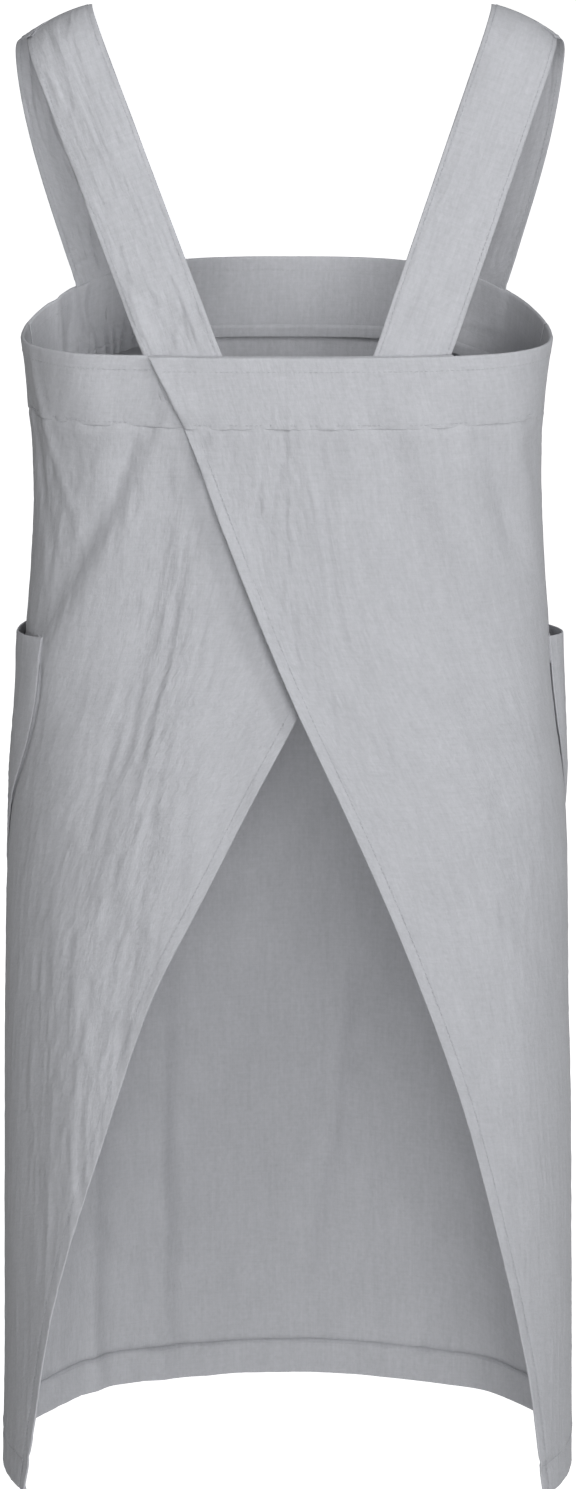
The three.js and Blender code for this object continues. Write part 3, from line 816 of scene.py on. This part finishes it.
def dent_at_pockets(turn, z):
    """The narrow dent in a back panel beside a pocket's rear edge, where the stitches pull it in."""
    dent = np.zeros(np.broadcast(turn, z).shape)
    for pocket in POCKETS:
        v = (BAND_TOP - pocket["drop"] - z) / POCKET_DEPTH
        behind = np.radians(pocket["side"] * turn - pocket_rear(pocket, v)) * FORM_RADIUS
        inside = smooth((v - 0.06) / 0.06) * smooth((1 - v) / 0.1)
        dent -= DENT_DEPTH * inside * bell(behind - 0.0006, 0.0020)
    return dent


def edge_pucker(distance, round_body, z, seed, height):
    """The small puckers beside a row of stitches, where distance is how far a place is from it."""
    puckers = height * wave_noise(seed, round_body / 0.009, z / 0.007)
    return bell(distance, 0.006) * puckers - 0.00035 * bell(distance, 0.0014)


def build_panel(piece, has_free_edge):
    """A body panel with its seam allowances, its bottom hem and a free edge's narrow hem turned under."""
    seam = beyond_stops(SEAM_ALLOWANCE, FOLD)
    edge = beyond_stops(EDGE_TURN, HEM_FOLD) if has_free_edge else seam
    inner = np.linspace(0, 1, PANEL_COLUMNS + 1)
    inner = mix(inner**2, inner, piece.even)
    u = np.concatenate([np.zeros(len(seam)), inner, np.ones(len(edge))])
    beyond = np.concatenate([seam[::-1], np.zeros(len(inner)), edge])
    radius = np.where(u > 0.5, HEM_FOLD if has_free_edge else FOLD, FOLD)
    past, inwards = turned_under(beyond, radius)

    hem = beyond_stops(HEM_TURN, HEM_FOLD)
    v = np.concatenate([np.linspace(0, 1, PANEL_ROWS + 1), np.ones(len(hem))])[:, None]
    hem_past, hem_inwards = turned_under(np.concatenate([np.zeros(PANEL_ROWS + 1), hem]), HEM_FOLD)
    top = top_edge(piece.turn(u, 0.0, BAND_TOP)) - BAND_HEIGHT + SEAM_TUCK
    z = mix(top[None, :], HEM, v) - hem_past[:, None]
    set_back = np.zeros(z.shape)
    if has_free_edge:
        turned_up = smooth((-hem_past - 0.001) / 0.003)
        set_back = HEM_SET_BACK * turned_up[:, None] * smooth((u - 0.85) / 0.15)[None, :]
    turn = piece.turn(u[None, :], past[None, :] - set_back, z)

    out = PANEL_OUT + inwards[None, :] + hem_inwards[:, None]
    round_body = np.radians(turn) * FORM_RADIUS
    above_hem = z - (HEM + HEM_TURN)
    out = out + edge_pucker(above_hem + 0.002, round_body, z, 31, 0.0011)
    uneven = 1 + 0.5 * wave_noise(34, round_body / 0.012, z / 0.02)
    rounded = HEM_BULGE * mix(HEM_BULGE_AT_SIDES, 1, np.cos(np.radians(turn)) ** 2)
    out = out + rounded * uneven * bell(above_hem - 0.0015, 0.0030)
    below_seam = top[None, :] - SEAM_TUCK - z
    out = out + SEAM_SWELL * bell(below_seam, 0.014) * smooth(below_seam / 0.0016)
    out = out + 0.0007 * wave_noise(33, round_body / 0.008, z / 0.02) * bell(below_seam, 0.010)
    if has_free_edge:
        from_edge = np.abs(piece.end(z) - turn) * degree_length(piece.end(z), z)
        out = out + edge_pucker(from_edge - (EDGE_TURN - 0.002), z, z, 32, 0.0004)
        within = EDGE_TURN + TURN_EASE - from_edge
        is_turned_up = (hem_inwards[:, None] < -HEM_FOLD) & (within > 0)
        out = out - np.where(is_turned_up, LAYER, 0) * smooth(within / TURN_EASE)
    grid = piece.on(turn, z, out + dent_at_pockets(turn, z))
    crinkled = crinkle_strength(turn, z)
    return thick_cloth(f"{piece.name}_panel_cloth", grid, CLOTH, body_cloth, (0.3, 0.1), crinkled)


# Band

ARC_STEPS = 6
BAND_STEP = 0.0026
OPEN_END_SHARES = np.array([0.0045, 0.0032, 0.0022, 0.0012, 0.0004, 0.0])  # fine columns at a band's open end
OPEN_END_ROUND = 0.0018  # over which its layers close up


def band_path():
    """The folded band's middle line, as lists of how far out and how far down from the top edge."""
    out_leg, in_leg = BAND_OUTER, BAND_INNER
    middle, radius = (out_leg + in_leg) / 2, (out_leg - in_leg) / 2
    lip = BAND_HEIGHT + BAND_LIP
    points = []

    def leg(out, first, last):
        count = max(2, round(abs(last - first) / BAND_STEP))
        points.extend((out, mix(first, last, k / count)) for k in range(count + 1))

    def arc(centre_out, centre_down, size, first, last):
        for k in range(1, ARC_STEPS):
            angle = math.radians(mix(first, last, k / ARC_STEPS))
            points.append((centre_out + size * math.cos(angle), centre_down - size * math.sin(angle)))

    leg(out_leg - 2 * FOLD, BAND_HEIGHT - SEAM_ALLOWANCE, BAND_HEIGHT)
    arc(out_leg - FOLD, BAND_HEIGHT, FOLD, 180, 360)
    leg(out_leg, BAND_HEIGHT, radius)
    arc(middle, radius, radius, 0, 180)
    leg(in_leg, radius, lip)
    arc(in_leg - FOLD, lip, FOLD, 0, -180)
    leg(in_leg - 2 * FOLD, lip, lip - SEAM_ALLOWANCE)
    return np.array(points)


# Where the band's inner layer stands off towards its lip: pleat is how far its gathers stand up.
GATHERS = table(
    "turn spread height pleat",
    (-56, 9, 0.0026, 0.0058),
    (-72, 8, 0.0008, 0.001),
    (57, 7.5, 0.0085, 0.0008),
    (-20, 24, 0.0006, 0.0005),
    (22, 24, 0.0008, 0.0004),
)
PLEAT = 0.0072  # from one gather to the next
GATHERED_COLUMNS = np.linspace(0.085, 0.265, 150)  # finer ones at the gathers, as shares across the front


def gathered(turn, down_band, round_body):
    """How far the band's inner layer stands off inwards towards its lip."""
    wander = 0.5 * wave_noise(43, round_body / 0.016, down_band / 0.03)
    pleats = np.abs(np.sin(np.pi * (round_body / PLEAT + wander)))
    pleats *= 0.65 + 0.35 * wave_noise(41, round_body / 0.009, down_band / 0.08)
    total = np.zeros(np.broadcast(turn, down_band).shape)
    for row in GATHERS:
        near = bell(signed(turn) - row["turn"], row["spread"])
        total += near * (row["height"] * smooth((down_band - 0.018) / 0.036) ** 1.5)
        total += near * row["pleat"] * pleats * smooth((down_band - 0.030) / 0.018)
    return total


def tail_emboss(strap, is_front, points):
    """From 0 to 1 where a strap's tail lies behind the band's inner layer."""
    side, (x, top, _, centre, narrowed) = strap["side"], strap_end(strap, is_front)
    slant = strap_slant(strap, x, centre)
    dx, dz = side * (points[..., 0] - x) / narrowed, points[..., 2] - top
    run = -(dx * math.sin(slant) + dz * math.cos(slant))
    across = np.abs(dx * math.cos(slant) - dz * math.sin(slant))
    is_near = (points[..., 1] > 0) == is_front
    width_share = smooth((STRAP_WIDTH / 2 + 0.001 - across) / 0.002)
    return width_share * smooth((STRAP_TAIL - run) / 0.003) * is_near


def build_band(piece, has_free_edge):
    """The folded band on a body piece, pressed by the straps' tails, and closed up at an open end."""
    path = band_path()
    out, down_band = path[:, 0][:, None], path[:, 1][:, None]
    u = np.linspace(0, 1, PANEL_COLUMNS + 1)
    if has_free_edge:
        u = np.concatenate([u[:-1], 1 - OPEN_END_SHARES])
    else:
        u = np.union1d(u, GATHERED_COLUMNS)
    top = top_edge(piece.turn(u, 0.0, BAND_TOP))[None, :]
    z = top - down_band
    turn = piece.turn(u[None, :], 0.0, z)
    round_body = np.radians(turn) * FORM_RADIUS
    middle = (BAND_OUTER + BAND_INNER) / 2
    if has_free_edge:
        from_edge = np.abs(piece.end(z) - turn) * degree_length(piece.end(z), z)
        apart = np.sqrt(np.clip(1 - (1 - from_edge / OPEN_END_ROUND).clip(0, 1) ** 2, 0.02, 1))
        out = middle + (out - middle) * apart
    order = np.arange(len(path))[:, None]
    is_inner = order > np.argmin(path[:, 1])
    out = out - np.where(is_inner, gathered(turn, down_band, round_body), 0.0)
    place = on_form(turn, z, 0.0)
    for strap in STRAPS:
        for is_front in (True, False):
            out = out - np.where(is_inner, STRAP_THICK * tail_emboss(strap, is_front, place), 0.0)
    near_seam = bell(down_band - BAND_HEIGHT, 0.006)
    ripple = wave_noise(42, round_body / 0.006, z / 0.02) * (0.0005 * near_seam + 0.00015)
    ripple = ripple - 0.0004 * near_seam
    grid = piece.on(turn, z, out + np.where(is_inner, 0, ripple))
    crinkled = 0.8 * crinkle_strength(turn, z)
    return thick_cloth(f"{piece.name}_band_cloth", grid, CLOTH, band_cloth, (0.7, 0.4), crinkled)


# Straps

STRAP_COLUMNS = 52
STRAP_ROWS = 124  # on each half, beyond its tail
VISIBLE_TAIL = 0.030  # the rest of the tail is hidden inside the band
TAIL_STEP = 0.003
SHOULDER_STARTS = 0.4  # as a share of the straight part
STITCH_COLUMN = 3.4  # from a strap's edge


def strap_end(strap, is_front):
    """Where a strap leaves the band, the band's surface there, and the share of its width that shows."""
    across = strap["side"] * (strap["front"] if is_front else strap["back"])
    top = float(top_edge(turn_at(across, BAND_TOP, is_front)))
    at = lambda x, z: on_form(turn_at(x / outline(z, is_front)[0], z, is_front), z, STRAP_OUT)
    x = across * float(outline(top, is_front)[0])
    beside = at(np.array(x + 0.01), np.array(top)) - at(np.array(x - 0.01), np.array(top))
    narrowed = abs(beside[0]) / math.hypot(beside[0], beside[1])
    return x, top, at, at(np.array(x), np.array(top)), narrowed


def strap_slant(strap, x, centre):
    """How far a strap leans outwards on its way up, in radians."""
    return math.atan2(strap["crest"] * strap["side"] - x, CREST_HEIGHT - centre[2]) * strap["side"]


def strap_half(strap, is_front):
    """One half of a strap's middle surface, from its tail inside the band to the shoulder's crest."""
    side = strap["side"]
    x, top, at, centre, narrowed = strap_end(strap, is_front)
    reach_y, reach_z = abs(centre[1]), centre[2] - SHOULDER_MIDDLE
    distance = math.hypot(reach_y, reach_z)
    touch = math.atan2(reach_y, reach_z) - math.acos(SHOULDER_RADIUS / distance)
    leg = math.sqrt(distance**2 - SHOULDER_RADIUS**2)
    length = leg + SHOULDER_RADIUS * touch
    facing = math.copysign(1, centre[1])
    place = np.linspace(-1, 1, STRAP_COLUMNS + 1)
    half_width = STRAP_WIDTH / 2
    slant = strap_slant(strap, x, centre)

    def shoulder_share(run):
        starts = SHOULDER_STARTS * leg
        return smooth((run - starts) / (length - starts))

    def line(run):
        angle = touch - np.maximum(0, run - leg) / SHOULDER_RADIUS
        up = np.clip(run / leg, 0, 1)
        y = mix(centre[1], facing * SHOULDER_RADIUS * np.sin(angle), up)
        z = mix(centre[2], SHOULDER_MIDDLE + SHOULDER_RADIUS * np.cos(angle), up)
        risen = (z - centre[2]) / (CREST_HEIGHT - centre[2])
        ahead = np.clip(1 - run / length, 0, 1)
        bow = strap["bulge"] * np.sin(np.pi * ahead**0.6) + strap["low_bulge"] * np.sin(np.pi * ahead)
        bow = bow if is_front else 0.0
        lean = SHOULDER_SLOPE * shoulder_share(run)
        sideways = mix(x, side * strap["crest"], risen) + side * bow * np.cos(lean)
        return np.stack([sideways, y, z - bow * np.sin(lean)], -1)

    tail_run = np.linspace(VISIBLE_TAIL, 0, round(VISIBLE_TAIL / TAIL_STEP) + 1)[:, None]
    tail_x = x - side * (tail_run * math.sin(slant) - place * half_width * math.cos(slant) * narrowed)
    tail_z = top - tail_run * math.cos(slant) - place * half_width * math.sin(slant)
    tail_grid = at(tail_x, tail_z)
    across_band = tail_grid[-1, -1] - tail_grid[-1, 0]
    across_band[2] = 0
    across_band /= np.linalg.norm(across_band)

    run = np.linspace(0, length, STRAP_ROWS + 1)[1:]
    middle = line(run)
    along = line(np.minimum(run + 0.002, length)) - line(run - 0.002)
    along /= np.linalg.norm(along, axis=-1, keepdims=True)
    on_shoulder = shoulder_share(run)[:, None]
    lean = SHOULDER_SLOPE * on_shoulder
    outwards = np.concatenate([side * np.cos(lean), np.zeros_like(lean), -np.sin(lean)], -1)
    outwards = mix(outwards, across_band, 1 - smooth(run / leg)[:, None])
    outwards -= (outwards * along).sum(-1, keepdims=True) * along
    outwards /= np.linalg.norm(outwards, axis=-1, keepdims=True)
    normal = np.cross(along, outwards)
    away = np.stack([np.zeros(len(run)), middle[:, 1], middle[:, 2] - SHOULDER_MIDDLE], -1)
    normal *= np.sign((normal * away).sum(-1, keepdims=True))
    seed = (51 if is_front else 53) + (side > 0)
    across = place[None, :]
    crown = STRAP_CROWN * on_shoulder * (1 - across**2)
    creased = 1.0 if side < 0 else 0.35
    fade = smooth(run / 0.012)[:, None] * smooth((length - run) / 0.03)[:, None]
    ease = np.minimum(1, (1 - np.abs(across)) / 0.12)
    bend = 0.5 * wave_noise(seed + 12, across * 0.7, run[:, None] / 0.06)
    wave = ridges(seed, across * 2.2 + bend, run[:, None] / 0.085)
    fine = ridges(seed + 4, across * 5.0 + bend, run[:, None] / 0.030)
    knots = ridges(seed + 16, across * 4.0, run[:, None] / 0.010)
    crushed = bell(run[:, None], 0.045)
    sway = 0.0014 * wave_noise(seed + 8, across * 0.8, run[:, None] / 0.07)
    relief = creased * ease * (0.0019 * wave + 0.0009 * fine + 0.0013 * knots * crushed)
    relief = fade * (relief + sway)
    free_grid = middle[:, None] + outwards[:, None] * place[None, :, None] * half_width
    free_grid = free_grid + normal[:, None] * (crown + relief)[..., None]
    flat_end = centre + outwards[0] * place[:, None] * half_width
    free_grid = free_grid + (tail_grid[-1] - flat_end) * (1 - smooth(run / 0.025))[:, None, None]
    return np.concatenate([tail_grid, free_grid])


def build_strap(strap):
    """A strap, thinner at its edges and along its stitches, and where those stitches run."""
    grid = np.concatenate([strap_half(strap, False), strap_half(strap, True)[-2::-1]])
    place = np.linspace(-1, 1, STRAP_COLUMNS + 1)
    thickness = STRAP_THICK * (1 - np.abs(place) ** 10 * 0.75) - 0.0002 * bell(np.abs(place) - 0.87, 0.05)
    crinkled = 1.6 if strap["side"] < 0 else 0.5
    piece = thick_cloth(f"{strap['name']}_cloth", grid, thickness, strap_cloth, (1.1, 0.2), crinkled)
    normal = grid_normals(grid)
    lines = []
    for column in (STITCH_COLUMN, STRAP_COLUMNS - STITCH_COLUMN):
        low = int(column)
        share = column - low
        points = mix(grid[:, low], grid[:, low + 1], share)
        normals = mix(normal[:, low], normal[:, low + 1], share)
        for face in (1, -1):
            lines.append((points + face * normals * STRAP_THICK * 0.46, face * normals))
    return piece, lines


# Pockets

POCKET_COLUMNS = 58
POCKET_ROWS = 66
POCKET_RADIUS = 0.18  # of the body, near enough for the width of a turned edge


def pocket_surface(pocket, u, v, z, beyond_turn, out):
    turn = mix(POCKET_FRONT_TURN, pocket_rear(pocket, v), u) + beyond_turn
    stand = pocket["gape"] * np.sin(np.pi * u**4) ** 0.8 * (1 - v) ** 1.2
    side = pocket["side"]
    soft = 0.0008 * wave_noise(61 + (side > 0), u * 5, v * 4) * np.sin(np.pi * u)
    return on_form(side * turn, z, out + stand + soft * (1 - v) + drape(side * turn, z))


def build_pocket(pocket):
    """A patch pocket with its mouth's hem and the allowances of its other edges turned under."""
    allowance = beyond_stops(SEAM_ALLOWANCE, FOLD)
    mouth = beyond_stops(POCKET_TURN, FOLD)
    columns, rows = np.linspace(0, 1, POCKET_COLUMNS + 1), np.linspace(0, 1, POCKET_ROWS + 1)
    u = np.concatenate([np.zeros(len(allowance)), columns, np.ones(len(allowance))])[None, :]
    v = np.concatenate([np.zeros(len(mouth)), rows, np.ones(len(allowance))])[:, None]
    side_past, side_in = turned_under(np.concatenate([allowance[::-1], 0 * columns, allowance]), FOLD)
    end_past, end_in = turned_under(np.concatenate([mouth[::-1], 0 * rows, allowance]), FOLD)
    mouth_z = BAND_TOP - pocket["drop"] - (1 - u) * POCKET_SLANT
    z = mix(mouth_z, BAND_TOP - pocket["drop"] - POCKET_DEPTH, v)
    z = z + end_past[:, None] * np.where(v < 0.5, 1, -1)
    share = np.clip((mouth_z - z) / POCKET_DEPTH, 0, 1)
    beyond_turn = np.degrees(side_past / POCKET_RADIUS)[None, :] * np.where(u > 0.5, 1, -1)
    out = PANEL_OUT + 2.2 * LAYER + side_in[None, :] + end_in[:, None]
    grid = pocket_surface(pocket, u, share, z, beyond_turn, out)
    return thick_cloth(f"{pocket['name']}_cloth", grid, CLOTH, body_cloth, (0.5, 0.9))


# Stitch lines

LINE_STEPS = 420
LINE_TURN_STEP = 0.4  # degrees
INSET = 0.0022  # from a seam or turned edge to its row of stitches
TOP_INSET = 0.009  # from the band's top edge to its row


def surface_line(piece, turn, z, out, face):
    """A line on a body piece's cloth, with the normals of the face that it is seen on."""
    points = piece.on(turn, z, out)
    across = piece.on(turn + LINE_TURN_STEP, z, out) - points
    along = piece.on(turn, z - 0.001, out) - points
    normal = np.cross(along, across)
    normal /= np.linalg.norm(normal, axis=-1, keepdims=True)
    outwards = on_form(turn, z, 0.001) - on_form(turn, z, 0.0)
    normal *= np.sign((normal * outwards).sum(-1, keepdims=True)) * face
    return points, normal


def body_stitches(piece, has_free_edge):
    lines = []
    u = np.linspace(0.006, 0.994, LINE_STEPS)
    top = top_edge(piece.turn(u, 0.0, BAND_TOP))
    half = CLOTH / 2
    out_leg = BAND_OUTER + half
    in_leg = BAND_INNER - half
    band_rows = ((TOP_INSET, out_leg, 1), (BAND_HEIGHT - INSET, out_leg - 0.0004, 1), (TOP_INSET, in_leg, -1))
    for down, out, face in band_rows:
        z = top - down
        lines.append(surface_line(piece, piece.turn(u, 0.0, z), z, out, face))
    z = np.full(LINE_STEPS, HEM + HEM_TURN - INSET)
    rows = [(piece.turn(u, 0.0, z), z)]
    if has_free_edge:
        z = np.linspace(BAND_TOP - BAND_HEIGHT - 0.004, HEM + 0.002, LINE_STEPS)
        rows.append((piece.turn(1.0, -(EDGE_TURN - INSET), z), z))
    for turn, z in rows:
        lines.append(surface_line(piece, turn, z, PANEL_OUT + half, 1))
        lines.append(surface_line(piece, turn, z, PANEL_OUT - 2 * HEM_FOLD - half, -1))
    return lines


for piece, has_free_edge in ((FRONT, False), (LEFT_BACK, True), (RIGHT_BACK, True)):
    panel_nodes = [f"{piece.name}_panel", f"{piece.name}_hem"]
    if has_free_edge:
        panel_nodes.append(f"{piece.name}_edge_hem")
    finish_cloth(build_panel(piece, has_free_edge), *panel_nodes)
    finish_cloth(build_band(piece, has_free_edge), f"{piece.name}_band")
    stitches(f"{piece.name}_stitches", body_stitches(piece, has_free_edge))
for strap in STRAPS:
    cloth, lines = build_strap(strap)
    finish_cloth(cloth, strap["name"])
    stitches(f"{strap['name']}_stitches", lines)
for pocket in POCKETS:
    finish_cloth(build_pocket(pocket), pocket["name"], f"{pocket['name']}_hem")


# Room, lights and camera

FLOOR_HEIGHT = -2.20
AIM = Vector((0, 0, -0.5))
CAMERA_DISTANCE = 3.2
CAMERA_ELEVATION = math.radians(15)
FLOOR_HALF = 40.0


def build_floor():
    corners = FLOOR_HALF * np.array([(-1, -1, 0), (1, -1, 0), (1, 1, 0), (-1, 1, 0)], float)
    n = Nodes(bpy.data.materials.new("floor_white"))
    where = n.add("ShaderNodeTexCoord", {})["Object"]
    tone = n.math("MULTIPLY_ADD", n.noise(where, 1.5, 2.0), 0.02, 0.93)
    n.put(tone, n.shader.inputs["Base Color"])
    n.shader.inputs["Roughness"].default_value = 0.9
    n.shader.inputs["Emission Color"].default_value = (1, 1, 1, 1)
    n.shader.inputs["Emission Strength"].default_value = 0.95
    floor = object_from("floor", corners, np.array([[0, 1, 2, 3]]), [False], corners[:, :2], n.owner)
    floor.location.z = FLOOR_HEIGHT
    floor.visible_diffuse = False


ROOM_LIGHT = 0.24
ROOM_SLOPE = 0.18  # the room is brighter on the right and darker on the left


def build_world():
    world = bpy.data.worlds.new("studio")
    bpy.context.scene.world = world
    n = Nodes(world, "Background")
    n.shader.inputs["Color"].default_value = (0.97, 0.985, 1.0, 1)
    where = n.add("ShaderNodeTexCoord", {})["Generated"]
    rightwards = n.add("ShaderNodeSeparateXYZ", {0: where})["X"]
    n.put(n.math("MULTIPLY_ADD", rightwards, ROOM_SLOPE, ROOM_LIGHT), n.shader.inputs["Strength"])


def aimed(name, data, place):
    """A light or a camera at a place, turned towards the middle of the apron."""
    piece = bpy.data.objects.new(name, data)
    bpy.context.collection.objects.link(piece)
    piece.location = place
    piece.rotation_euler = (AIM - Vector(place)).to_track_quat("-Z", "Y").to_euler()
    return piece


def area_light(name, place, size, power):
    light = bpy.data.lights.new(name, "AREA")
    light.shape = "DISK"
    light.size = size
    light.energy = power
    aimed(name, light, place)


def build_camera():
    camera = bpy.data.cameras.new("camera")
    camera.sensor_width = 36
    camera.lens = 113.8
    back, up = math.cos(CAMERA_ELEVATION), math.sin(CAMERA_ELEVATION)
    bpy.context.scene.camera = aimed("camera", camera, AIM + CAMERA_DISTANCE * Vector((0, -back, up)))


build_floor()
build_world()
area_light("key", (0.5, -3.3, 0.45), 1.2, 31)
area_light("top", (-0.3, -1.5, 1.5), 0.8, 16)
area_light("low_fill", (-0.2, -3.35, -0.25), 1.2, 30)
area_light("side", (2.3, -1.9, 0.8), 0.7, 21)
area_light("bounce", (-0.1, -0.45, -2.1), 1.0, 5)
build_camera()
bpy.context.scene.view_settings.view_transform = "Standard"
